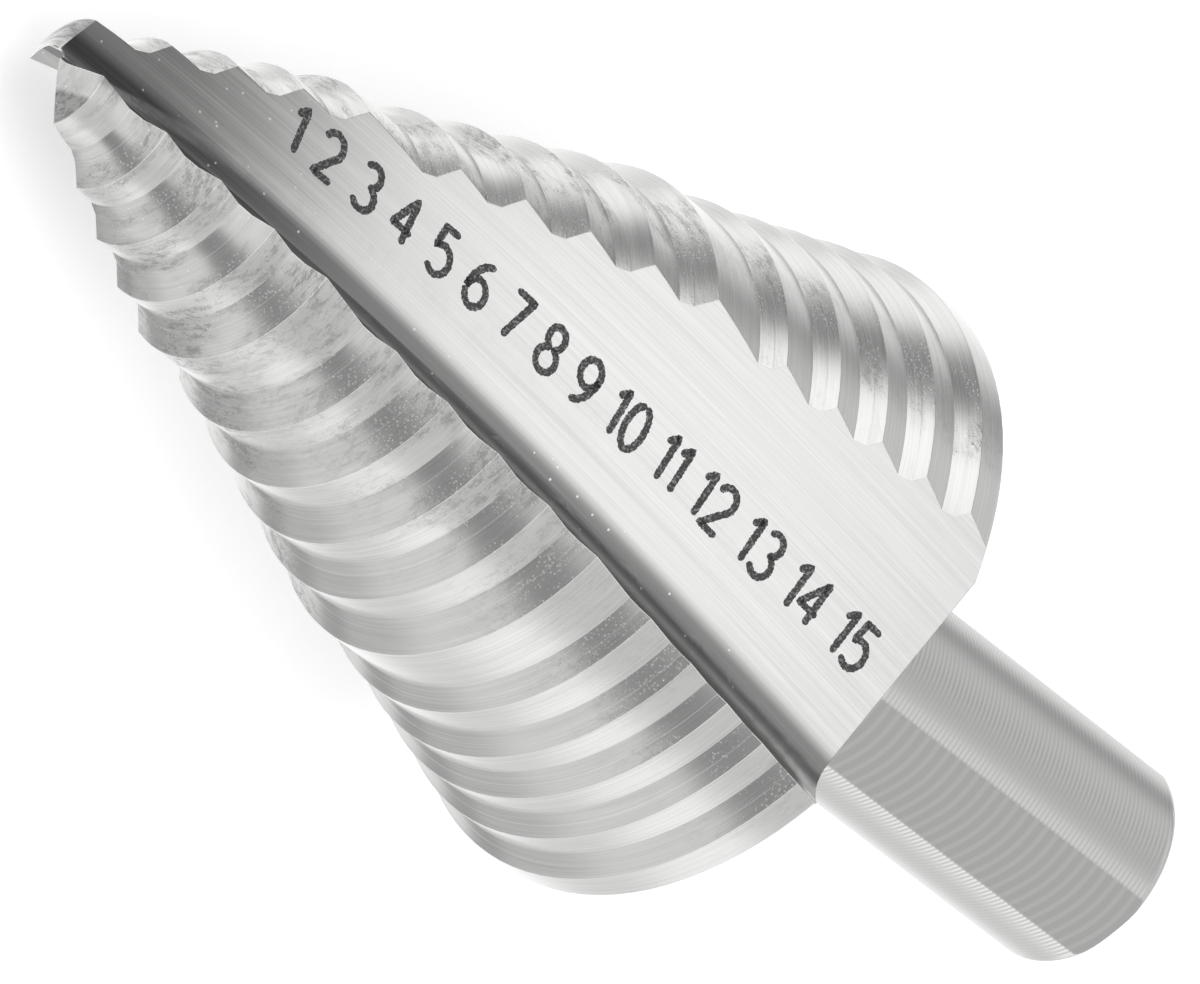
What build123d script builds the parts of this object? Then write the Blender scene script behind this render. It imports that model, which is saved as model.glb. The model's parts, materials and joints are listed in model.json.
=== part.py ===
from build123d import *
from math import cos, radians, sin, tan
import os

os.makedirs("parts", exist_ok=True)

# Step drill for sheet metal, ground from one bar of tool steel.
#
# The drill is drawn along its own axis: z = 0 is the first cutting corner, behind the point,
# and z grows towards the shank. Lengths are millimetres and angles are degrees.

# ---- Cutting diameters ---------------------------------------------------------------------
first_step_d = 4.7625  # 3/16 in, the size of hole the point starts
small_run_d = 12.7  # 1/2 in, last step of the first run
middle_run_d = 22.225  # 7/8 in, last step of the second run
large_run_d = 28.575  # 1 1/8 in, last step of the third run
small_run_steps = 4
middle_run_steps = 5
large_run_steps = 5

# ---- Lands: the straight length that sizes each hole -----------------------------------------
first_land = 2.2
small_land = 1.73
small_last_land = 3.22
middle_land = 1.85
middle_last_land = 2.93
large_first_land = 1.9
large_land = 1.56
large_last_land = 1.33
rim_chamfer = 0.5

# ---- Ramps and point ------------------------------------------------------------------------
ramp_angle = 45.0  # between each ramp and the axis
corner_band = 0.35  # from each inner corner to both sides of the narrow band that a worn wheel leaves
point_angle = 118.0

# ---- Two shallow flutes, ground at an angle so that they follow the cone -----------------------
flute_count = 2
flute_twist = 0.815  # degrees for each millimetre along the axis, right-hand
flute_root_r = (0.55, 0.025)  # at z = 0, and its growth with z
rake_side = -117.95  # direction of the cutting side, outwards from the root
heel_side = 148.73  # direction of the trailing side, outwards from the root
# Distance of each side's plane from the axis: at z = 0, its growth with z, and with z squared.
rake_stand_off = (0.314, 0.1885, -0.00273)
heel_stand_off = (-0.852, -0.2906, 0.00041)
# The second flute is deeper towards the point, by this much more on each side.
second_rake_extra = (0.45, -0.022, 0.00027)
second_heel_extra = (1.2, -0.0585, 0.000714)
flute_sections = 5
flute_overrun = 2.4  # how far the grinding cut runs past both ends of the cone

# ---- Shank ----------------------------------------------------------------------------------
shank_d = 9.525  # 3/8 in
shank_length = 23.44
shank_end_r = 0.55
shank_flats = 3
flat_depth = 0.38
flat_azimuth = -69.3

# ---- Attitude at rest -------------------------------------------------------------------------
# The drill lies over one flute. Three corners touch: the heel of the largest step, and the cutting
# edge on the other side of the flute at the last steps of the first and second runs.
axis_rise = 14.43
roll = 13.19


def run_of_steps(start_d, end_d, count, lands):
    """Radius and land of each step of a run that grows by equal amounts up to end_d."""
    growth = (end_d - start_d) / count
    return [((start_d + growth * (n + 1)) / 2, lands[n]) for n in range(count)]


small_lands = [small_land] * (small_run_steps - 1) + [small_last_land]
middle_lands = [middle_land] * (middle_run_steps - 1) + [middle_last_land]
large_lands = [large_first_land] + [large_land] * (large_run_steps - 2) + [large_last_land]

steps = [(first_step_d / 2, first_land)]
steps += run_of_steps(first_step_d, small_run_d, small_run_steps, small_lands)
steps += run_of_steps(small_run_d, middle_run_d, middle_run_steps, middle_lands)
steps += run_of_steps(middle_run_d, large_run_d, large_run_steps, large_lands)

point_height = first_step_d / 2 / tan(radians(point_angle / 2))

axis_direction = (cos(radians(axis_rise)), 0, sin(radians(axis_rise)))
unrolled_plane = Plane(origin=(0, 0, 0), x_dir=(0, -1, 0), z_dir=axis_direction)
drill_axis = Axis(unrolled_plane.origin, unrolled_plane.z_dir)


def station(z, turn=0.0):
    """Plane across the drill's axis at z, turned about the axis."""
    return Plane(unrolled_plane.location * Location((0, 0, z), (0, 0, roll + turn)))


def section_plane():
    """Plane through the drill's axis, with its y along the axis towards the shank."""
    across = station(0)
    return Plane(across.origin, x_dir=across.x_dir, z_dir=-across.y_dir)


def step_outline():
    """Corner points of the stepped half section, from the point to the back of the cone."""
    corners = [(0, -point_height)]
    band_rise = corner_band * sin(radians(ramp_angle))
    band_run = corner_band * cos(radians(ramp_angle))
    z = 0.0
    for (radius, land), (next_radius, next_land) in zip(steps, steps[1:]):
        corners.append((radius, z))
        z += land
        corners.append((radius, z - corner_band))
        corners.append((radius + band_rise, z + band_run))
        z += (next_radius - radius) / tan(radians(ramp_angle))
    corners.append((next_radius, z))
    z += next_land
    corners.append((next_radius, z))
    z += rim_chamfer
    corners.append((next_radius - rim_chamfer, z))
    corners.append((0, z))
    return corners


def polynomial(terms, z):
    """Value at z of a sum of terms times rising powers of z."""
    return sum(term * z**power for power, term in enumerate(terms))


def flute_root(z, flute):
    """Point where the two sides of a flute meet, in the plane turned with the twist."""
    rake = polynomial(rake_stand_off, z)
    heel = polynomial(heel_stand_off, z)
    if flute == 1:
        rake += polynomial(second_rake_extra, z)
        heel += polynomial(second_heel_extra, z)
    rake_normal = radians(rake_side + 90)
    heel_normal = radians(heel_side - 90)
    spread = sin(heel_normal - rake_normal)
    x = (rake * sin(heel_normal) - heel * sin(rake_normal)) / spread
    y = (heel * cos(rake_normal) - rake * cos(heel_normal)) / spread
    return Vector(x, y)


outline = step_outline()
cone_length = outline[-1][1]
cut_start = -point_height - flute_overrun
cut_length = cone_length + flute_overrun - cut_start
cut_reach = large_run_d  # long enough to leave the cone on both sides

with BuildPart() as step_drill:
    # Stepped cone with its point, turned about the axis.
    with BuildSketch(section_plane()):
        with BuildLine():
            Polyline(*outline, close=True)
        make_face()
    revolve(axis=drill_axis)

    # Flutes: each is a notch with a rounded root, carried along the cone as it turns.
    for flute in range(flute_count):
        for section in range(flute_sections):
            z = cut_start + cut_length * section / (flute_sections - 1)
            turn = flute * 360 / flute_count + flute_twist * z
            root = flute_root(z, flute)
            rake_end = root + Vector(cut_reach, 0).rotate(Axis.Z, rake_side)
            heel_end = root + Vector(cut_reach, 0).rotate(Axis.Z, heel_side)
            with BuildSketch(station(z, turn)):
                with BuildLine():
                    FilletPolyline(rake_end, root, heel_end, radius=polynomial(flute_root_r, z))
                    Polyline(heel_end, heel_end + rake_end - root, rake_end)
                make_face()
        loft(mode=Mode.SUBTRACT)

    # Shank, turned with a rounded end.
    with BuildSketch(station(cone_length)):
        Circle(shank_d / 2)
    extrude(amount=shank_length)
    shank_rim = edges().filter_by(GeomType.CIRCLE).sort_by(drill_axis)[-1]
    fillet(shank_rim, shank_end_r)

    # Flats for the chuck jaws, over the whole length of the shank.
    with BuildSketch(station(cone_length)):
        with PolarLocations(shank_d / 2 - flat_depth, shank_flats, start_angle=flat_azimuth):
            Rectangle(shank_d, shank_d, align=(Align.MIN, Align.CENTER))
    extrude(amount=shank_length, mode=Mode.SUBTRACT)

# Origin on the surface that the drill lies on, below the middle of its box. It rests on corners.
middle = step_drill.part.bounding_box().center()
floor_z = min(corner.Z for corner in step_drill.vertices())
step_drill.part = step_drill.part.moved(Location((-middle.X, -middle.Y, -floor_z)))

step_drill.part.label = "step_drill"
export_step(step_drill.part, "parts/step_drill.step")
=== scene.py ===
"""Finishes, step numbers and studio for a ground step drill.

Positions on the drill are given in its own frame, in millimetres: z runs along the axis from the
first cutting corner to the shank, and azimuths turn about that axis. Everything in the Blender
scene is in metres.
"""

import json
import logging
import math
import random
from dataclasses import dataclass, field
from enum import Enum
from typing import Any

import bpy
from mathutils import Matrix, Vector
from mathutils.bvhtree import BVHTree


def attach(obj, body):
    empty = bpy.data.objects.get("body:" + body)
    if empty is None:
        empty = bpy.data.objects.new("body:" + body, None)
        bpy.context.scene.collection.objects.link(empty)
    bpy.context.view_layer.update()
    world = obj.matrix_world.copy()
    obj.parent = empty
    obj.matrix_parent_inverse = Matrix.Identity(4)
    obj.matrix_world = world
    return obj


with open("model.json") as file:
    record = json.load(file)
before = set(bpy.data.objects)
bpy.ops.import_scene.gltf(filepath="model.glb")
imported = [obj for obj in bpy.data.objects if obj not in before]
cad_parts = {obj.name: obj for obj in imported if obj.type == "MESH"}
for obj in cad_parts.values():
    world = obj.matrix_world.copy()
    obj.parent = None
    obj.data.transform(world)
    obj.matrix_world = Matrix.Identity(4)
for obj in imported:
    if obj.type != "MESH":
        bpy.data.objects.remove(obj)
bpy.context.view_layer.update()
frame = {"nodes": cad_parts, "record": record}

MM = 0.001
NODE = "step_drill"
CONE_LENGTH = 41.256
SHANK_LENGTH = 23.44
SHANK_RADIUS = 4.7625
FLAT_AZIMUTH = -69.3
PRINCIPLED = "ShaderNodeBsdfPrincipled"

log = logging.getLogger("step_drill")


class Operation(Enum):
    """Arithmetic that a shader Math node can do."""

    ADD = "ADD"
    SUBTRACT = "SUBTRACT"
    MULTIPLY = "MULTIPLY"
    DIVIDE = "DIVIDE"
    MAXIMUM = "MAXIMUM"
    ABSOLUTE = "ABSOLUTE"
    SQRT = "SQRT"
    COSINE = "COSINE"
    SINE = "SINE"
    SIGN = "SIGN"
    ARCTAN2 = "ARCTAN2"


class Wire:
    """A number or vector that flows through a shader's node tree."""

    def __init__(self, tree: "Tree", socket: bpy.types.NodeSocket) -> None:
        """Wraps a socket.

        Args:
            tree: the tree that the socket belongs to.
            socket: an output socket.
        """
        self.tree = tree
        self.socket = socket

    def __add__(self, other: "Wire | float") -> "Wire":
        """Sum."""
        return self.tree.math(Operation.ADD, self, other)

    def __radd__(self, other: float) -> "Wire":
        """Sum, with the number on the left."""
        return self.tree.math(Operation.ADD, other, self)

    def __sub__(self, other: "Wire | float") -> "Wire":
        """Difference."""
        return self.tree.math(Operation.SUBTRACT, self, other)

    def __rsub__(self, other: float) -> "Wire":
        """Difference, with the number on the left."""
        return self.tree.math(Operation.SUBTRACT, other, self)

    def __mul__(self, other: "Wire | float") -> "Wire":
        """Product."""
        return self.tree.math(Operation.MULTIPLY, self, other)

    def __rmul__(self, other: float) -> "Wire":
        """Product, with the number on the left."""
        return self.tree.math(Operation.MULTIPLY, other, self)

    def __truediv__(self, other: "Wire | float") -> "Wire":
        """Quotient."""
        return self.tree.math(Operation.DIVIDE, self, other)

    def __abs__(self) -> "Wire":
        """Size without sign."""
        return self.tree.math(Operation.ABSOLUTE, self)

    def maximum(self, other: "Wire | float") -> "Wire":
        """The larger of two values."""
        return self.tree.math(Operation.MAXIMUM, self, other)

    def sqrt(self) -> "Wire":
        """Square root."""
        return self.tree.math(Operation.SQRT, self)

    def cos(self) -> "Wire":
        """Cosine of an angle in radians."""
        return self.tree.math(Operation.COSINE, self)

    def sin(self) -> "Wire":
        """Sine of an angle in radians."""
        return self.tree.math(Operation.SINE, self)


class Tree:
    """A shader node tree, with one method that adds any node."""

    def __init__(self, tree: bpy.types.NodeTree) -> None:
        """Clears a tree and takes it over.

        Args:
            tree: the node tree of a material or world.
        """
        self.tree = tree
        tree.nodes.clear()

    def node(
        self,
        kind: str,
        settings: dict[str, Any] | None = None,
        inputs: dict[str | int, Any] | None = None,
    ) -> bpy.types.Node:
        """Adds a node.

        Args:
            kind: Blender's type name of the node.
            settings: properties that are set before the sockets.
            inputs: value or Wire for each input, by its name or number.

        Returns:
            The new node.
        """
        node = self.tree.nodes.new(kind)
        for name, value in (settings or {}).items():
            setattr(node, name, value)
        for key, value in (inputs or {}).items():
            if isinstance(value, Wire):
                self.tree.links.new(value.socket, node.inputs[key])
            else:
                node.inputs[key].default_value = value
        return node

    def out(self, node: bpy.types.Node, output: str | int = 0) -> Wire:
        """Wraps one output of a node."""
        return Wire(self, node.outputs[output])

    def math(self, operation: Operation, *terms: Wire | float) -> Wire:
        """Adds a Math node.

        Args:
            operation: what it works out.
            terms: its operands, in order.

        Returns:
            Its result.
        """
        inputs = dict(enumerate(terms))
        return self.out(self.node("ShaderNodeMath", {"operation": operation.value}, inputs))

    def vector(self, operation: str, output: str, *terms: Any) -> Wire:
        """Adds a Vector Math node.

        Args:
            operation: its operation, such as DOT_PRODUCT.
            output: the name of the output that is wanted.
            terms: its operands, in order.

        Returns:
            That output.
        """
        node = self.node("ShaderNodeVectorMath", {"operation": operation}, dict(enumerate(terms)))
        return self.out(node, output)

    def dot(self, wire: Wire, direction: Vector) -> Wire:
        """Component of a vector along a fixed direction."""
        return self.vector("DOT_PRODUCT", "Value", wire, tuple(direction))

    def surface(self, output: str, shader: bpy.types.Node) -> None:
        """Joins a shader to the tree's output.

        Args:
            output: type name of the output node.
            shader: the shader's node.
        """
        self.tree.links.new(shader.outputs[0], self.node(output).inputs["Surface"])

    def point(self, x: Wire | float, y: Wire | float, z: Wire | float) -> Wire:
        """Vector with these three components."""
        return self.out(self.node("ShaderNodeCombineXYZ", None, {"X": x, "Y": y, "Z": z}))

    def rise(self, value: Wire, start: float, end: float) -> Wire:
        """Smooth climb from 0 to 1 as a value goes from start to end.

        Args:
            value: the value that is followed.
            start: where the result is 0.
            end: where the result is 1; it may be below start.

        Returns:
            The smooth step.
        """
        low, high = min(start, end), max(start, end)
        settings = {"interpolation_type": "SMOOTHSTEP", "clamp": True}
        inputs = {"Value": value, "From Min": low, "From Max": high}
        step = self.out(self.node("ShaderNodeMapRange", settings, inputs))
        return step if end > start else 1 - step

    def blend(self, share: Wire | float, first: Wire | float, second: Wire | float) -> Wire:
        """Mix of two numbers.

        Args:
            share: how much of the second is taken, from 0 to 1.
            first: the number at share 0.
            second: the number at share 1.

        Returns:
            The mixed number.
        """
        settings = {"data_type": "FLOAT"}
        node = self.node("ShaderNodeMix", settings, {0: share, 2: first, 3: second})
        return self.out(node, 0)

    def cells(self, where: Wire, density: float) -> Wire:
        """Distance to the nearest of scattered points.

        Args:
            where: the position that it is read at.
            density: how many points fit along a unit of position.

        Returns:
            The distance, in spacings of the points.
        """
        settings = {"feature": "F1", "voronoi_dimensions": "3D"}
        inputs = {"Vector": where, "Scale": density, "Randomness": 1.0}
        return self.out(self.node("ShaderNodeTexVoronoi", settings, inputs), "Distance")

    def toward(self, share: Wire, first: Wire, second: Wire) -> Wire:
        """Mix of two vectors.

        Args:
            share: how much of the second is taken, from 0 to 1.
            first: the vector at share 0.
            second: the vector at share 1.

        Returns:
            The mixed vector.
        """
        settings = {"data_type": "VECTOR"}
        node = self.node("ShaderNodeMix", settings, {0: share, 4: first, 5: second})
        return self.out(node, 1)

    def grain(self, where: Wire, scale: float, detail: float, roughness: float = 0.6) -> Wire:
        """Noise from 0 to 1.

        Args:
            where: the position that it is read at.
            scale: how many blotches fit in a unit of position.
            detail: how many finer layers are added.
            roughness: how strong the finer layers are.

        Returns:
            The noise.
        """
        inputs = {"Vector": where, "Scale": scale, "Detail": detail, "Roughness": roughness}
        return self.out(self.node("ShaderNodeTexNoise", {"noise_dimensions": "3D"}, inputs))


@dataclass(frozen=True)
class DrillFrame:
    """The drill's own frame: z along the axis, and azimuths about it."""

    origin: Vector
    x: Vector
    y: Vector
    axis: Vector

    @classmethod
    def from_record(
        cls, record: dict[str, Any], length: float, flat_azimuth: float
    ) -> "DrillFrame":
        """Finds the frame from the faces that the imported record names.

        Args:
            record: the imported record.
            length: millimetres from the first cutting corner to the end of the shank.
            flat_azimuth: azimuth of the shank's first flat, in degrees.

        Returns:
            The frame, in metres.
        """
        mounts = {mount["name"]: mount for mount in record["mounts"]}
        axis = Vector(mounts["shank_end"]["axis"]).normalized()
        origin = Vector(mounts["shank_end"]["pos_m"]) - axis * length * MM
        out_of_flat = Vector(mounts["shank_flat_1"]["axis"]).normalized()
        along_flat = axis.cross(out_of_flat)
        angle = math.radians(flat_azimuth)
        x = out_of_flat * math.cos(angle) - along_flat * math.sin(angle)
        y = out_of_flat * math.sin(angle) + along_flat * math.cos(angle)
        return cls(origin, x, y, axis)

    def place(self, x: float, y: float, z: float) -> Vector:
        """World position of a point given in millimetres in the drill's frame."""
        return self.origin + (self.x * x + self.y * y + self.axis * z) * MM


@dataclass(frozen=True)
class Flute:
    """The first flute: a notch whose two sides turn slowly along the cone."""

    twist: float = 0.815
    rake_side: float = -117.95
    heel_side: float = 148.73
    rake_stand_off: tuple[float, float, float] = (0.314, 0.1885, -0.00273)
    heel_stand_off: tuple[float, float, float] = (-0.852, -0.2906, 0.00041)
    second_heel_extra: tuple[float, float, float] = (1.2, -0.0585, 0.000714)

    @property
    def rake_normal(self) -> tuple[float, float]:
        """Direction across the cutting side, in the plane that turns with the flute."""
        angle = math.radians(self.rake_side + 90)
        return math.cos(angle), math.sin(angle)

    @property
    def heel_normal(self) -> tuple[float, float]:
        """Direction across the trailing side, in the plane that turns with the flute."""
        angle = math.radians(self.heel_side - 90)
        return math.cos(angle), math.sin(angle)

    @property
    def middle(self) -> tuple[float, float]:
        """Direction from the axis to the middle of the flute, in the plane that turns with it."""
        angle = math.radians((self.rake_side + self.heel_side - 360) / 2)
        return math.cos(angle), math.sin(angle)

    def on_heel(self, drill: DrillFrame, z: float, out: float) -> Vector:
        """Point on the trailing side.

        Args:
            drill: the drill's frame.
            z: place along the axis.
            out: distance from the flute's root.

        Returns:
            The point, in metres.
        """
        rake = sum(term * z**power for power, term in enumerate(self.rake_stand_off))
        heel = sum(term * z**power for power, term in enumerate(self.heel_stand_off))
        rake_x, rake_y = self.rake_normal
        heel_x, heel_y = self.heel_normal
        spread = rake_x * heel_y - rake_y * heel_x
        root_x = (rake * heel_y - heel * rake_y) / spread
        root_y = (heel * rake_x - rake * heel_x) / spread
        side = math.radians(self.heel_side)
        u = root_x + out * math.cos(side)
        v = root_y + out * math.sin(side)
        turn = math.radians(self.twist * z)
        x = u * math.cos(turn) - v * math.sin(turn)
        y = u * math.sin(turn) + v * math.cos(turn)
        return drill.place(x, y, z)


class SurfaceMap:
    """Where a point of the drill is and which way it faces, as values that a shader can use."""

    def __init__(self, tree: Tree, drill: DrillFrame, flute: Flute) -> None:
        """Adds the nodes.

        Args:
            tree: the material's tree.
            drill: the drill's frame.
            flute: the flute's layout.
        """
        self.tree = tree
        coordinates = tree.node("ShaderNodeTexCoord")
        place = tree.out(coordinates, "Object")
        facing = tree.out(coordinates, "Normal")
        self.x = (tree.dot(place, drill.x) - drill.x.dot(drill.origin)) / MM
        self.y = (tree.dot(place, drill.y) - drill.y.dot(drill.origin)) / MM
        self.z = (tree.dot(place, drill.axis) - drill.axis.dot(drill.origin)) / MM
        self.place = tree.point(self.x, self.y, self.z)
        self.radius = (self.x * self.x + self.y * self.y).sqrt()
        self.azimuth = tree.math(Operation.ARCTAN2, self.y, self.x)
        facing_x = tree.dot(facing, drill.x)
        facing_y = tree.dot(facing, drill.y)
        self.facing_tip = tree.dot(facing, drill.axis * -1)
        outward = tree.point(
            *(
                (self.x * drill.x[i] + self.y * drill.y[i]) / self.radius - drill.axis[i]
                for i in range(3)
            )
        )
        self.ramp_normal = tree.vector("NORMALIZE", "Vector", outward)
        self.facing_out = (facing_x * self.x + facing_y * self.y) / self.radius
        self.facing_round = abs(facing_y * self.x - facing_x * self.y) / self.radius

        turn = self.z * math.radians(flute.twist)
        across = self.x * turn.cos() + self.y * turn.sin()
        along = self.y * turn.cos() - self.x * turn.sin()
        rake_x, rake_y = flute.rake_normal
        heel_x, heel_y = flute.heel_normal
        rake_start, rake_growth, rake_bend = flute.rake_stand_off
        rake = rake_start + self.z * (rake_growth + self.z * rake_bend)
        rake_distance = across * rake_x + along * rake_y
        heel_start, heel_growth, heel_bend = flute.heel_stand_off
        heel = heel_start + self.z * (heel_growth + self.z * heel_bend)
        extra_start, extra_growth, extra_bend = flute.second_heel_extra
        extra = extra_start + self.z * (extra_growth + self.z * extra_bend)
        middle_x, middle_y = flute.middle
        side = tree.math(Operation.SIGN, across * middle_x + along * middle_y)
        self.behind_edge = abs(rake_distance) - rake
        self.off_rake = side * rake_distance - rake
        self.off_heel = side * (across * heel_x + along * heel_y) - heel
        self.off_heel = self.off_heel - 0.5 * (1 - side) * extra
        facing_u = facing_x * turn.cos() + facing_y * turn.sin()
        facing_v = facing_y * turn.cos() - facing_x * turn.sin()
        self.facing_heel = abs(facing_u * heel_x + facing_v * heel_y)


class Zones:
    """Masks that tell the drill's differently worked surfaces apart.

    Each pair gives where a mask starts and where it is whole. Facings are cosines, and the rest
    are millimetres.
    """

    SHANK_Z = (CONE_LENGTH + 0.02, CONE_LENGTH + 0.06)
    HEEL_FACING = (0.93, 0.97)
    HEEL_DISTANCE = (0.12, 0.06)
    TURNED_FACING_ROUND = (0.16, 0.06)
    FLAT_RADIUS = (SHANK_RADIUS - 0.01, SHANK_RADIUS - 0.04)
    RAMP_FACING = (0.2, 0.5)
    LAND_FACING = (0.5, 0.2)
    BAND_FACING_LOW = (0.2, 0.3)
    BAND_FACING_HIGH = (0.6, 0.5)

    def __init__(self, here: SurfaceMap) -> None:
        """Adds the nodes.

        Args:
            here: the surface map.
        """
        tree = here.tree
        self.shank = tree.rise(here.z, *self.SHANK_Z)
        heel = tree.rise(here.facing_heel, *self.HEEL_FACING)
        heel = heel * tree.rise(here.off_heel, *self.HEEL_DISTANCE)
        turned = tree.rise(here.facing_round, *self.TURNED_FACING_ROUND) * (1 - heel)
        cone = 1 - self.shank
        self.steps = turned * cone
        self.flutes = (1 - turned) * cone
        self.flats = tree.rise(here.radius, *self.FLAT_RADIUS) * self.shank
        self.ramps = tree.rise(here.facing_tip, *self.RAMP_FACING) * self.steps
        self.lands = tree.rise(here.facing_tip, *self.LAND_FACING) * self.steps
        band = tree.rise(here.facing_tip, *self.BAND_FACING_LOW)
        band = band * tree.rise(here.facing_tip, *self.BAND_FACING_HIGH)
        self.bands = band * self.steps


@dataclass(frozen=True)
class Blotches:
    """Noise that is cut to a mask with soft edges."""

    scale: float
    detail: float
    roughness: float
    cut: tuple[float, float]

    def mask(self, tree: Tree, where: Wire) -> Wire:
        """Adds the nodes.

        Args:
            tree: the material's tree.
            where: the position that the noise is read at.

        Returns:
            The mask.
        """
        return tree.rise(tree.grain(where, self.scale, self.detail, self.roughness), *self.cut)


@dataclass(frozen=True)
class Worked:
    """What one way of working leaves on the steel: its tone, its roughness and its relief."""

    tone: Wire
    roughness: Wire
    height: Wire

    def within(self, mask: Wire) -> "Worked":
        """The same, and nothing outside a mask."""
        return Worked(self.tone * mask, self.roughness * mask, self.height * mask)

    def beside(self, other: "Worked") -> "Worked":
        """This one and another together.

        Args:
            other: what covers a different part of the steel.

        Returns:
            Both, as one.
        """
        return Worked(
            self.tone + other.tone, self.roughness + other.roughness, self.height + other.height
        )


@dataclass(frozen=True)
class GroundSteps:
    """Steps ground round the axis, pitted, scratched and rougher behind their cutting edges, with
    painted shade and painted glints there.

    Distances and heights are millimetres. Each pair gives where a change starts and ends.
    """

    tone: float = 0.68
    roughness: float = 0.16
    line_base: float = 0.72
    line_contrast: float = 0.56
    line_height: float = 0.0014
    line_roughness: float = 0.06
    fine_line_share: float = 0.65
    fine_line_scale: tuple[float, float] = (9.0, 0.9)
    broad_line_scale: tuple[float, float] = (2.2, 1.6)
    # The stain mask below darkens the tone with painted shade, for the dark reflection behind the
    # cutting edges; it also makes the steel rougher and pitted there.
    stain_scale: tuple[float, float, float] = (2.6, 1.1, 2.6)
    stain_speckle: Blotches = Blotches(1.4, 5.0, 0.8, (0.48, 0.58))
    stain_patch: Blotches = Blotches(0.22, 2.0, 0.6, (0.36, 0.56))
    stain_base: float = 0.35
    stain_roughness: float = 0.14
    stain_share: float = 0.42
    stain_behind_edge: tuple[float, float] = (6.5, 0.3)
    stain_off_heel: tuple[float, float] = (1.2, 2.2)
    stain_fade_off_heel: tuple[float, float] = (6.5, 4.0)
    heel_side: tuple[float, float] = (0.5, -0.5)
    outside_facing: tuple[float, float] = (0.15, 0.4)
    clean_lands_from: tuple[float, float] = (23.0, 28.0)
    clean_share: float = 0.75
    # Painted shade for the point's relief facet behind each lip, a facet that the geometry lacks.
    point_relief: tuple[float, float] = (0.05, -0.05)
    relief_behind_edge: tuple[float, float] = (0.85, 1.1)
    relief_shade: float = 0.45
    relief_speckle: float = 0.25
    pit_density: float = 7.0
    pit_size: tuple[float, float] = (0.34, 0.12)
    pit_height: float = 0.010
    # Painted glints: small bright spots added to the tone on the ramps behind the cutting edges.
    burr_density: float = 3.4
    burr_size: tuple[float, float] = (0.11, 0.06)
    burr_shine: float = 0.4
    # Painted highlight: tone added along the bevelled edges.
    edge_shine: float = 0.3

    def work(self, here: SurfaceMap, zones: Zones, edge: Wire) -> Worked:
        """Adds the nodes.

        Args:
            here: the surface map.
            zones: the masks of the drill's surfaces.
            edge: mask of the edges.

        Returns:
            What the grinding leaves, with painted shade and painted highlights in its tone.
        """
        tree = here.tree
        rings = self._rings(here)
        along, round_axis, outward = self.stain_scale
        spot = tree.point(
            here.z * along, here.azimuth * here.radius * round_axis, here.radius * outward
        )
        speckle = self.stain_speckle.mask(tree, spot)
        patch = self.stain_patch.mask(tree, spot)
        wear_and_painted_light = self._worn(here)
        clean = tree.rise(here.z, *self.clean_lands_from) * zones.lands
        strength = self.stain_base + (1 - self.stain_base) * speckle
        # Painted shade in mottled patches, standing for the dark reflection behind the cutting
        # edges; the same mask adds real roughness and pits.
        stain_and_painted_shade = wear_and_painted_light * patch * (1 - self.clean_share * clean) * strength
        # Painted shade on the point: the unmodelled relief facet is darkened in the colour, with
        # speckle.
        on_point = tree.rise(here.z, *self.point_relief)
        relief = on_point * tree.rise(here.behind_edge, *self.relief_behind_edge) * wear_and_painted_light
        relief_shade = (self.relief_shade + self.relief_speckle * speckle) * relief
        shade = (1 - self.stain_share * stain_and_painted_shade) * (1 - relief_shade)
        lines = self.line_base + self.line_contrast * rings
        # Painted highlights: the edge highlight and the painted glints, added to the tone.
        glint_spots = tree.rise(tree.cells(here.place, self.burr_density), *self.burr_size)
        painted_highlights = self.edge_shine * edge + self.burr_shine * glint_spots * wear_and_painted_light * zones.ramps
        pits = tree.rise(tree.cells(here.place, self.pit_density), *self.pit_size)
        return Worked(
            self.tone * lines * shade + painted_highlights,
            self.roughness + self.stain_roughness * stain_and_painted_shade + self.line_roughness * rings,
            self.line_height * rings - self.pit_height * pits * stain_and_painted_shade,
        )

    def _rings(self, here: SurfaceMap) -> Wire:
        """Fine grinding lines that run round the steps.

        Args:
            here: the surface map.

        Returns:
            The lines, from 0 to 1.
        """
        tree = here.tree
        across = here.z + here.radius
        fine_across, fine_round = self.fine_line_scale
        broad_across, broad_round = self.broad_line_scale
        fine = tree.point(across * fine_across, here.azimuth * fine_round, 0.0)
        broad = tree.point(across * broad_across, here.azimuth * broad_round, 4.0)
        fine_lines = tree.grain(fine, 1.0, 3.0)
        broad_lines = tree.grain(broad, 1.0, 2.0)
        return self.fine_line_share * fine_lines + (1 - self.fine_line_share) * broad_lines

    def _worn(self, here: SurfaceMap) -> Wire:
        """Places behind the cutting edges and near the flutes: rougher and pitted, and given
        painted shade and painted glints.

        Args:
            here: the surface map.

        Returns:
            Their mask.
        """
        tree = here.tree
        behind_edge = tree.rise(here.behind_edge, *self.stain_behind_edge)
        off_heel = tree.rise(here.off_heel, *self.stain_off_heel)
        fade = tree.rise(here.off_heel, *self.stain_fade_off_heel)
        heel_side = tree.rise(here.off_rake, *self.heel_side)
        outside = tree.rise(here.facing_out, *self.outside_facing)
        return behind_edge.maximum(off_heel * fade * heel_side) * outside


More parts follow.
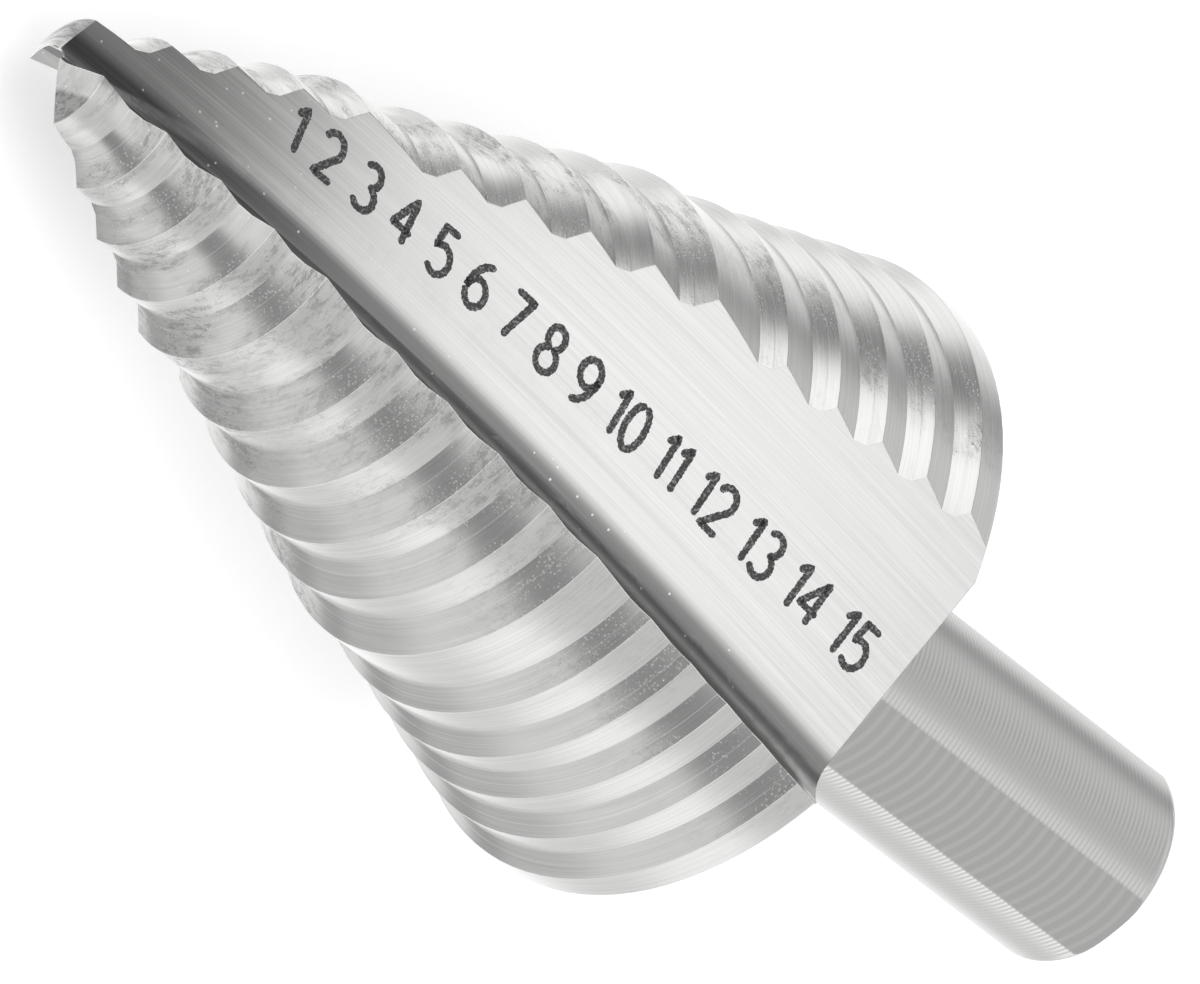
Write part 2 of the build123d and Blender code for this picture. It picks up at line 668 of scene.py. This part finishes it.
@dataclass(frozen=True)
class GroundFlutes:
    """Flutes ground lengthwise, with painted shade at the root and towards the point.

    Distances and heights are millimetres. Each pair gives where a change starts and ends.
    """

    tone: float = 0.68
    roughness: float = 0.24
    line_base: float = 0.98
    line_contrast: float = 0.7
    line_contrast_at_point: float = 0.9
    line_height: float = 0.0010
    line_roughness: float = 0.1
    fine_line_share: float = 0.7
    fine_line_scale: tuple[float, float] = (12.0, 0.06)
    broad_line_scale: tuple[float, float] = (1.5, 0.03)
    # Painted shade: the root band and the flute near the point are darkened in the colour.
    root_shade: float = 0.70
    root_starts: tuple[float, float] = (-2.15, -1.3)
    root_ends: tuple[float, float] = (-0.3, -0.9)
    point_shade: float = 0.45
    point_ends: tuple[float, float] = (15.0, 3.0)
    # Painted glints: small bright spots added to the tone at the root and near the point.
    burr_density: float = 1.6
    burr_size: tuple[float, float] = (0.11, 0.06)
    burr_shine: float = 0.45

    def work(self, here: SurfaceMap) -> Worked:
        """Adds the nodes.

        Args:
            here: the surface map.

        Returns:
            What the grinding leaves, with painted shade and painted glints in its tone.
        """
        tree = here.tree
        streaks = self._streaks(here)
        # Painted shade in the root band, standing for its dark reflection, and towards the point,
        # for the twisting face's shading.
        root = tree.rise(here.off_rake, *self.root_starts)
        root = root * tree.rise(here.off_rake, *self.root_ends)
        point = tree.rise(here.z, *self.point_ends)
        shade = (1 - self.root_shade * root) * (1 - self.point_shade * point)
        contrast = self.line_contrast + self.line_contrast_at_point * point
        # Painted glints at the root and near the point.
        glint_spots = tree.rise(tree.cells(here.place, self.burr_density), *self.burr_size)
        painted_highlights = self.burr_shine * glint_spots * root.maximum(point)
        return Worked(
            self.tone * (self.line_base + contrast * (streaks - 0.5)) * shade + painted_highlights,
            self.roughness + self.line_roughness * streaks,
            self.line_height * streaks,
        )

    def _streaks(self, here: SurfaceMap) -> Wire:
        """Grinding lines that run along the flutes.

        Args:
            here: the surface map.

        Returns:
            The lines, from 0 to 1.
        """
        tree = here.tree
        across, along = self.fine_line_scale
        fine = tree.point(here.off_rake * across, here.off_heel * across, here.z * along)
        across, along = self.broad_line_scale
        broad = tree.point(here.off_rake * across, here.off_heel * across, here.z * along)
        fine_lines = tree.grain(fine, 1.0, 4.0, 0.7)
        broad_lines = tree.grain(broad, 1.0, 2.0)
        return self.fine_line_share * fine_lines + (1 - self.fine_line_share) * broad_lines


@dataclass(frozen=True)
class TurnedShank:
    """Shank turned round, with three flats that a cutter has crossed in broad passes.

    Pitches and heights are millimetres.
    """

    tone: float = 0.63
    roughness: float = 0.24
    feed_base: float = 0.97
    feed_pitch: float = 0.25
    feed_height: float = 0.0014
    feed_contrast: float = 0.06
    scallop_height: float = 0.0032
    scallop_contrast: float = 0.12
    scallop_cut: tuple[float, float] = (-0.15, 0.15)
    flat_count: int = 3
    flat_tone: float = 0.74
    flat_roughness: float = 0.08
    pass_pitch: float = 0.64
    pass_bow: float = 2.4
    pass_cut: tuple[float, float] = (-0.3, 0.9)
    pass_height: float = 0.0007
    pass_contrast: float = 0.09

    def work(self, here: SurfaceMap, zones: Zones) -> Worked:
        """Adds the nodes.

        Args:
            here: the surface map.
            zones: the masks of the drill's surfaces.

        Returns:
            What the turning and the cutter leave.
        """
        tree = here.tree
        feed = 0.5 + 0.5 * (here.z * (2 * math.pi / self.feed_pitch)).sin()
        bow = here.facing_round * here.facing_round * self.pass_bow
        wave = ((here.z + bow) * (2 * math.pi / self.pass_pitch)).sin()
        passes = tree.rise(wave, *self.pass_cut)
        from_flat = (here.azimuth - math.radians(FLAT_AZIMUTH)) * float(self.flat_count)
        scallop = tree.rise(from_flat.cos(), *self.scallop_cut)
        contrast = self.feed_contrast + self.scallop_contrast * scallop
        round_tone = self.tone * (self.feed_base + contrast * (feed - 0.5))
        flat_tone = self.tone * (self.flat_tone + self.pass_contrast * passes)
        round_height = (self.feed_height + self.scallop_height * scallop) * feed
        return Worked(
            tree.blend(zones.flats, round_tone, flat_tone),
            self.roughness + self.flat_roughness * zones.flats,
            tree.blend(zones.flats, round_height, self.pass_height * passes),
        )


@dataclass(frozen=True)
class ToolSteel:
    """Bright tool steel, worked in another way on the steps, in the flutes and at the shank."""

    steps: GroundSteps = GroundSteps()
    flutes: GroundFlutes = GroundFlutes()
    shank: TurnedShank = TurnedShank()
    edge_radius: float = 0.05
    edge_samples: int = 6
    edge_bend: tuple[float, float] = (0.995, 0.95)
    warmth: float = 0.99

    def build(self, drill: DrillFrame, flute: Flute) -> bpy.types.Material:
        """Makes the material.

        Args:
            drill: the drill's frame.
            flute: the flute's layout, which the grinding marks follow.

        Returns:
            The material.
        """
        material = bpy.data.materials.new("ground_steel")
        material.use_nodes = True
        tree = Tree(material.node_tree)
        here = SurfaceMap(tree, drill, flute)
        zones = Zones(here)

        plain = tree.out(tree.node("ShaderNodeNewGeometry"), "Normal")
        settings = {"samples": self.edge_samples}
        bevel = tree.node("ShaderNodeBevel", settings, {"Radius": self.edge_radius * MM})
        rounded = tree.out(bevel)
        edge = tree.rise(tree.vector("DOT_PRODUCT", "Value", rounded, plain), *self.edge_bend)

        steps = self.steps.work(here, zones, edge).within(zones.steps)
        flutes = self.flutes.work(here).within(zones.flutes)
        shank = self.shank.work(here, zones).within(zones.shank)
        whole = steps.beside(flutes).beside(shank)

        facing = tree.toward(zones.bands, rounded, here.ramp_normal)
        relief = {"Strength": 1.0, "Distance": MM, "Height": whole.height, "Normal": facing}
        bump = tree.node("ShaderNodeBump", None, relief)
        finish = {
            "Base Color": tree.point(whole.tone, whole.tone, whole.tone * self.warmth),
            "Metallic": 1.0,
            "Roughness": whole.roughness,
            "Normal": tree.out(bump),
        }
        tree.surface("ShaderNodeOutputMaterial", tree.node(PRINCIPLED, None, finish))
        return material


@dataclass(frozen=True)
class BurntEtch:
    """Dark stippled mark that an etching pen burns into steel."""

    dark: float = 0.07
    light: float = 0.24
    speckle: Blotches = Blotches(9000.0, 2.0, 0.6, (0.48, 0.68))
    metallic: float = 0.6
    roughness: float = 0.6
    speckle_gloss: float = 0.25
    relief: float = 0.03
    relief_scale: float = 5400.0

    def build(self) -> bpy.types.Material:
        """Makes the material.

        Returns:
            The material.
        """
        material = bpy.data.materials.new("burnt_etch")
        material.use_nodes = True
        tree = Tree(material.node_tree)
        place = tree.out(tree.node("ShaderNodeTexCoord"), "Object")
        speckle = self.speckle.mask(tree, place)
        tone = tree.blend(speckle, self.dark, self.light)
        height = tree.grain(place, self.relief_scale, 2.0)
        relief = {"Distance": self.relief * MM, "Height": height}
        bump = tree.node("ShaderNodeBump", None, relief)
        finish = {
            "Base Color": tree.point(tone, tone, tone),
            "Metallic": self.metallic,
            "Roughness": self.roughness - self.speckle_gloss * speckle,
            "Normal": tree.out(bump),
        }
        tree.surface("ShaderNodeOutputMaterial", tree.node(PRINCIPLED, None, finish))
        return material


Stroke = list[tuple[float, float]]
ARC_STEP = 15
ARC_LEAST = 4


def arc(
    middle: tuple[float, float], reach: tuple[float, float], start: float, end: float
) -> Stroke:
    """Points along part of an ellipse.

    Args:
        middle: its centre.
        reach: its half width and half height.
        start: the first angle, in degrees.
        end: the last angle, in degrees.

    Returns:
        The points, in order.
    """
    count = max(ARC_LEAST, round(abs(end - start) / ARC_STEP))
    angles = [math.radians(start + (end - start) * n / count) for n in range(count + 1)]
    return [
        (middle[0] + reach[0] * math.cos(angle), middle[1] + reach[1] * math.sin(angle))
        for angle in angles
    ]


class Digit(Enum):
    """Strokes of each digit, in a box up to 0.6 wide and 1 high."""

    ZERO = (arc((0.3, 0.5), (0.27, 0.5), 90, 450),)
    ONE = ([(0.0, 0.78), (0.24, 1.0), (0.24, 0.0)],)
    TWO = (arc((0.3, 0.72), (0.27, 0.28), 165, -35) + [(0.03, 0.0), (0.58, 0.0)],)
    THREE = (
        arc((0.29, 0.76), (0.25, 0.24), 150, -90),
        arc((0.29, 0.27), (0.29, 0.27), 80, -155),
    )
    FOUR = ([(0.44, 0.0), (0.44, 1.0), (0.02, 0.3), (0.6, 0.3)],)
    FIVE = ([(0.54, 1.0), (0.12, 1.0), (0.07, 0.55)] + arc((0.28, 0.32), (0.3, 0.32), 115, -145),)
    SIX = (arc((0.56, 0.3), (0.54, 0.7), 95, 180) + arc((0.3, 0.3), (0.28, 0.3), 180, -180),)
    SEVEN = ([(0.04, 1.0), (0.58, 1.0), (0.2, 0.0)],)
    EIGHT = (
        arc((0.3, 0.76), (0.23, 0.24), -90, 270),
        arc((0.3, 0.26), (0.28, 0.26), 90, -270),
    )
    NINE = (arc((0.04, 0.7), (0.54, 0.7), -85, 0) + arc((0.3, 0.7), (0.28, 0.3), 0, 360),)

    @property
    def width(self) -> float:
        """Width of the digit, in heights."""
        return max(x for stroke in self.value for x, _ in stroke)


@dataclass
class StepNumbers:
    """Numbers of the fifteen steps, etched in a row along the first flute's trailing side."""

    drill: DrillFrame
    flute: Flute
    last: int = 15
    start: float = 8.8
    end: float = 39.7
    baseline: float = 3.7
    baseline_climb: float = 0.0295
    cap_height: float = 1.85
    digit_stretch: float = 1.62
    digit_gap: float = 0.36
    line_width: float = 0.3
    lift: float = 0.008
    ragged_edge: tuple[float, float] = (0.82, 1.12)
    blunt_end: float = 0.05
    sample: float = 0.05
    seed: int = 15
    etch: BurntEtch = field(default_factory=BurntEtch)
    vertices: list[Vector] = field(init=False, default_factory=list)
    faces: list[tuple[int, ...]] = field(init=False, default_factory=list)
    surface: BVHTree = field(init=False)
    chance: random.Random = field(init=False)

    def build(self) -> None:
        """Makes the row, a thin skin that lies on the flute."""
        self.chance = random.Random(self.seed)
        body = frame["nodes"][NODE]
        self.surface = BVHTree.FromObject(body, bpy.context.evaluated_depsgraph_get())
        digits = list(Digit)
        numbers = [
            [digits[int(sign)] for sign in str(number)] for number in range(1, self.last + 1)
        ]
        widths = [digit.width * self.digit_stretch for number in numbers for digit in number]
        inked = sum(widths) + (len(widths) - len(numbers)) * self.digit_gap
        gap = (self.end - self.start - inked) / (len(numbers) - 1)
        z = self.start
        for number in numbers:
            for digit in number:
                for stroke in digit.value:
                    self._add_line(z, stroke)
                z += digit.width * self.digit_stretch + self.digit_gap
            z += gap - self.digit_gap
        mesh = bpy.data.meshes.new("step_numbers")
        mesh.from_pydata(self.vertices, [], self.faces)
        row = bpy.data.objects.new("step_numbers", mesh)
        bpy.context.scene.collection.objects.link(row)
        mesh.materials.append(self.etch.build())
        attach(row, "root")
        log.info("step numbers, %d faces", len(self.faces))

    def _add_line(self, start: float, stroke: Stroke) -> None:
        """Adds one stroke as a ragged ribbon with round ends.

        Args:
            start: where the digit starts along the axis.
            stroke: its points, in the digit's box.
        """
        points = [Vector((start + x * self.digit_stretch, y * self.cap_height)) for x, y in stroke]
        path = self._resample(points)
        half = self.line_width / 2
        first = len(self.vertices)
        for index, point in enumerate(path):
            before = path[max(index - 1, 0)]
            after = path[min(index + 1, len(path) - 1)]
            along = (after - before).normalized()
            across = Vector((-along.y, along.x))
            from_end = min(index, len(path) - 1 - index) * self.sample
            round_end = math.sqrt(max(self.blunt_end, 1 - max(0.0, 1 - from_end / half) ** 2))
            for side in (-1, 1):
                reach = half * round_end * self.chance.uniform(*self.ragged_edge)
                self.vertices.append(self._on_flute(point + across * side * reach))
        for index in range(len(path) - 1):
            corner = first + 2 * index
            self.faces.append((corner, corner + 1, corner + 3, corner + 2))

    def _resample(self, points: list[Vector]) -> list[Vector]:
        """Points at even steps along a line.

        Args:
            points: its corners.

        Returns:
            The evenly spaced points.
        """
        path = [points[0]]
        for start, end in zip(points, points[1:]):
            count = max(1, round((end - start).length / self.sample))
            path += [start.lerp(end, n / count) for n in range(1, count + 1)]
        return path

    def _on_flute(self, place: Vector) -> Vector:
        """Point just above the flute's trailing side.

        Args:
            place: distance along the axis, and height above the row's baseline.

        Returns:
            The point, in metres.
        """
        z, height = place
        out = self.baseline + self.baseline_climb * (z - self.start) + height
        near = self.flute.on_heel(self.drill, z, out)
        point, normal, _, _ = self.surface.find_nearest(near)
        return point + normal * self.lift * MM


@dataclass(frozen=True)
class Card:
    """A soft oval patch of the studio's surround that the steel reflects.

    Azimuth 0 is +X and 90 is +Y, both seen from the drill. Angles are in degrees, and level is the
    brightness beside a plain surround's 1.
    """

    azimuth: float
    elevation: float
    half_width: float
    half_height: float
    level: float
    tilt: float = 0.0


@dataclass
class Surround:
    """The pale room round the drill, with the cards that give the steel its contrast."""

    level: float = 0.90
    backdrop_level: float = 1.0
    card_edge: tuple[float, float] = (1.8, 0.2)
    card_front: tuple[float, float] = (0.0, 0.2)
    cards: tuple[Card, ...] = (
        # Bright sheets, low on both sides, that the lands and the shank's sides show.
        Card(17, -35, 31, 60, 1.22, 10),
        Card(-39, 7, 13, 21, 1.55, 22),
        Card(95, -31, 14, 12, 1.28),
        # Grey sheets under and over the point, for the ramps beside the outline.
        Card(-90, -51, 9, 32, 0.64, 23),
        Card(-67, -61, 7, 8, 0.45),
        Card(-41, 48, 23, 7, 0.53, 22),
        # Dark sheet that the ramps show behind the first flute's cutting edges.
        Card(-142, 7, 12, 12, 0.30),
        Card(-52, 41, 18, 20, 0.77),
        # Black and white sheets side by side, for the ramps beyond the first flute.
        Card(110, 0, 8, 17, 0.03, -26),
        Card(134, 6, 16, 13, 1.44),
        # Large black sheet that darkens the flute's root and the flute near the point.
        Card(61, 37, 35, 46, 0.15, 28),
        Card(179, 24, 17, 14, 0.94),
        Card(55, -15, 10, 5, 0.54, 4),
        # Grey sheets overhead, for the top of the shank.
        Card(29, 44, 14, 40, 0.98, 45),
        Card(35, 60, 12, 10, 0.60),
        # White sheet straight above, that the flute's trailing side shows.
        Card(160, 82, 25, 25, 1.32),
    )

    def build(self) -> None:
        """Makes the world's shader."""
        world = bpy.data.worlds.new("studio_surround")
        world.use_nodes = True
        bpy.context.scene.world = world
        tree = Tree(world.node_tree)
        direction = tree.out(tree.node("ShaderNodeTexCoord"), "Generated")
        level: Wire | float = self.level
        for card in self.cards:
            level = tree.blend(self._mask(tree, direction, card), level, card.level)
        seen = tree.out(tree.node("ShaderNodeLightPath"), "Is Camera Ray")
        strength = tree.blend(seen, level, self.backdrop_level)
        inputs = {"Color": (1, 1, 1, 1), "Strength": strength}
        light = tree.node("ShaderNodeBackground", None, inputs)
        tree.surface("ShaderNodeOutputWorld", light)
        log.info("surround with %d cards", len(self.cards))

    def _mask(self, tree: Tree, direction: Wire, card: Card) -> Wire:
        """Soft oval patch, 1 at a card's middle and 0 outside it.

        Args:
            tree: the world's tree.
            direction: where a ray goes.
            card: the card.

        Returns:
            The mask.
        """
        azimuth, elevation = math.radians(card.azimuth), math.radians(card.elevation)
        middle = Vector(
            (
                math.cos(elevation) * math.cos(azimuth),
                math.cos(elevation) * math.sin(azimuth),
                math.sin(elevation),
            )
        )
        side = Vector((-math.sin(azimuth), math.cos(azimuth), 0))
        up = middle.cross(side)
        turn = math.radians(card.tilt)
        across = side * math.cos(turn) + up * math.sin(turn)
        along = up * math.cos(turn) - side * math.sin(turn)
        u = tree.dot(direction, across) / math.sin(math.radians(card.half_width))
        v = tree.dot(direction, along) / math.sin(math.radians(card.half_height))
        reach = u * u + v * v
        front = tree.rise(tree.dot(direction, middle), *self.card_front)
        return tree.rise(reach, *self.card_edge) * front


@dataclass
class Floor:
    """The pale sheet that the drill lies on."""

    size: float = 6.0
    tone: float = 0.9
    roughness: float = 0.9
    backdrop_share: float = 0.45

    def build(self) -> None:
        """Makes the sheet and its plain finish."""
        mesh = bpy.data.meshes.new("floor")
        half = self.size / 2
        corners = [(-half, -half, 0), (half, -half, 0), (half, half, 0), (-half, half, 0)]
        mesh.from_pydata(corners, [], [(0, 1, 2, 3)])
        sheet = bpy.data.objects.new("floor", mesh)
        bpy.context.scene.collection.objects.link(sheet)
        material = bpy.data.materials.new("pale_sheet")
        material.use_nodes = True
        tree = Tree(material.node_tree)
        seen = tree.out(tree.node("ShaderNodeLightPath"), "Is Camera Ray")
        finish = {
            "Base Color": (self.tone, self.tone, self.tone, 1),
            "Roughness": self.roughness,
            "Specular IOR Level": 0.0,
            "Emission Color": tree.point(seen, seen, seen),
            "Emission Strength": self.backdrop_share,
        }
        tree.surface("ShaderNodeOutputMaterial", tree.node(PRINCIPLED, None, finish))
        mesh.materials.append(material)
        sheet.visible_glossy = False
        log.info("floor %.1f m wide", self.size)


@dataclass
class Camera:
    """The view of the drill, from beside its point."""

    azimuth: float = -77.099
    elevation: float = 36.237
    roll: float = 111.758
    distance: float = 0.86199
    lens: float = 653.39
    sensor_width: float = 36.0
    sight: float = 20.0
    target: Vector = field(default_factory=lambda: Vector((0.9967, -0.183, 11.3407)) * MM)

    def build(self) -> None:
        """Makes the camera and hands it to the scene."""
        azimuth, elevation = math.radians(self.azimuth), math.radians(self.elevation)
        forward = Vector(
            (
                -math.sin(azimuth) * math.cos(elevation),
                math.cos(azimuth) * math.cos(elevation),
                -math.sin(elevation),
            )
        )
        level = forward.cross(Vector((0, 0, 1))).normalized()
        upright = level.cross(forward)
        roll = math.radians(self.roll)
        right = level * math.cos(roll) + upright * math.sin(roll)
        up = upright * math.cos(roll) - level * math.sin(roll)
        pose = Matrix((right, up, -forward)).transposed().to_4x4()
        pose.translation = self.target - forward * self.distance
        data = bpy.data.cameras.new("camera")
        data.sensor_width = self.sensor_width
        data.lens = self.lens
        data.clip_end = self.sight
        camera = bpy.data.objects.new("camera", data)
        camera.matrix_world = pose
        bpy.context.scene.collection.objects.link(camera)
        bpy.context.scene.camera = camera
        log.info("camera at %.3f m", self.distance)


@dataclass
class DrillBody:
    """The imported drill, dressed in its finish."""

    drill: DrillFrame
    flute: Flute
    steel: ToolSteel = field(default_factory=ToolSteel)

    def dress(self) -> None:
        """Gives the drill its finish."""
        body = frame["nodes"][NODE]
        material = self.steel.build(self.drill, self.flute)
        for slot in body.material_slots:
            slot.material = material
        log.info("%s dressed in %s", NODE, material.name)


def main() -> None:
    """Builds the scene."""
    logging.basicConfig(level=logging.INFO, format="%(name)s: %(message)s")
    drill = DrillFrame.from_record(frame["record"], CONE_LENGTH + SHANK_LENGTH, FLAT_AZIMUTH)
    flute = Flute()
    Surround().build()
    Floor().build()
    Camera().build()
    DrillBody(drill, flute).dress()
    StepNumbers(drill, flute).build()
    bpy.context.scene.view_settings.view_transform = "Standard"


if __name__ == "__main__":
    main()
